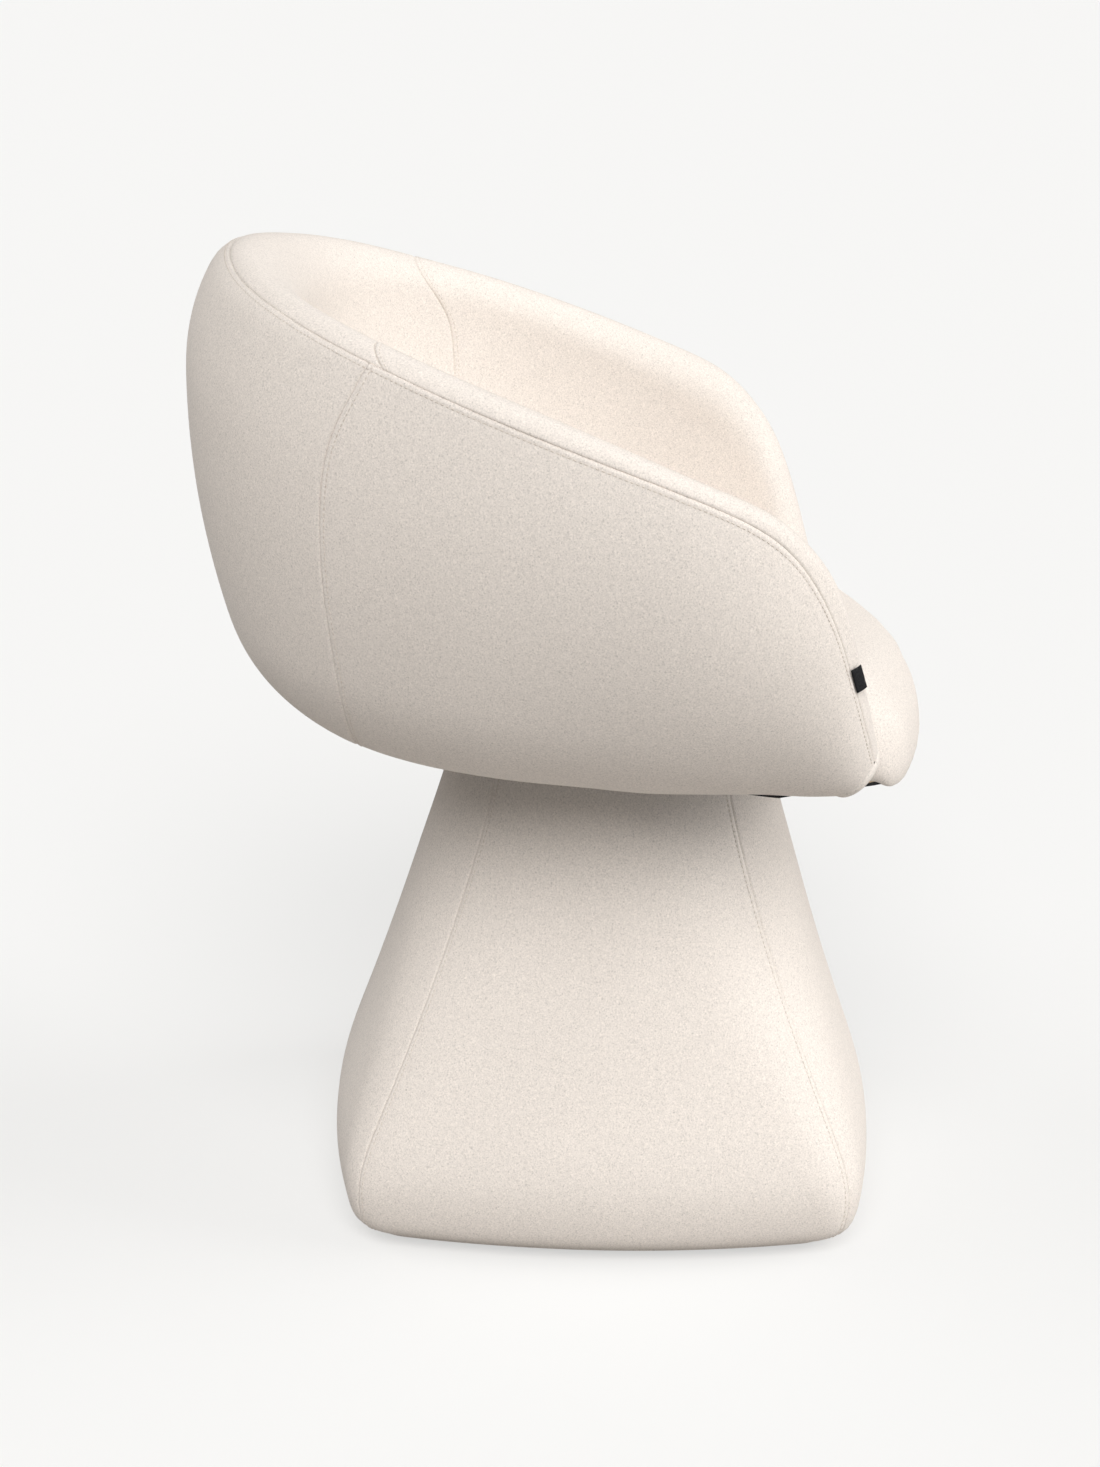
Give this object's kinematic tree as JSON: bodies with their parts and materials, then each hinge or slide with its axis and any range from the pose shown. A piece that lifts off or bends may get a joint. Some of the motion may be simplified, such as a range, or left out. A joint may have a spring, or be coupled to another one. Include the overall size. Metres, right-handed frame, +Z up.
{
  "type": "swivel chair",
  "caption": "Swivel tub chair upholstered in light beige felt, wrap-round back and arms in one shell, thick seat cushion and a padded pedestal base tapering up to a swivel",
  "frame": {"origin": "on the floor under the middle of the bounding box, 43.5 mm behind the swivel axis", "axes": "+Z up, parallel to the swivel axis; the sitter faces -Y; +X to the sitter's left"},
  "size_m": [0.6634, 0.5975, 0.779],
  "materials": {
    "felt": "melange wool felt, light beige",
    "lining": "black dust cloth",
    "tab": "black woven strip",
    "foam": "cut polyurethane foam",
    "moulding": "moulded grey plastic",
    "board": "birch plywood",
    "black_metal": "black powder coat",
    "steel": "zinc plated steel",
    "black_plastic": "black moulded nylon"
  },
  "bodies": {
    "base": {"floor_glides": "black_plastic", "base_plate": "black_metal", "plate_screws": "steel", "rib_fore_aft": "board", "rib_cross": "board", "base_casing": "moulding", "base_foam": "foam", "base_cover_left": "felt", "base_cover_back": "felt", "base_cover_right": "felt", "base_cover_front": "felt", "base_top_cover": "felt", "base_top_board": "board", "swivel_lower_plate": "steel", "lower_screws": "steel", "swivel_balls": "steel", "swivel_pivot": "steel"},
    "seat": {"swivel_upper_plate": "steel", "upper_screws": "steel", "seat_deck": "board", "underside_cover": "lining", "tub_shell": "moulding", "back_foam": "foam", "arm_foam_left": "foam", "arm_foam_right": "foam", "outer_back": "felt", "outer_side_left": "felt", "outer_side_right": "felt", "inner_back": "felt", "inner_arm_left": "felt", "inner_arm_right": "felt", "seat_foam": "foam", "seat_cover": "felt", "side_tab": "tab"}
  },
  "joints": [
    {"name": "swivel", "type": "hinge", "parent": "base", "child": "seat", "pos_m": [0, -0.0435, 0], "axis": [0, 0, 1], "continuous": true}
  ]
}
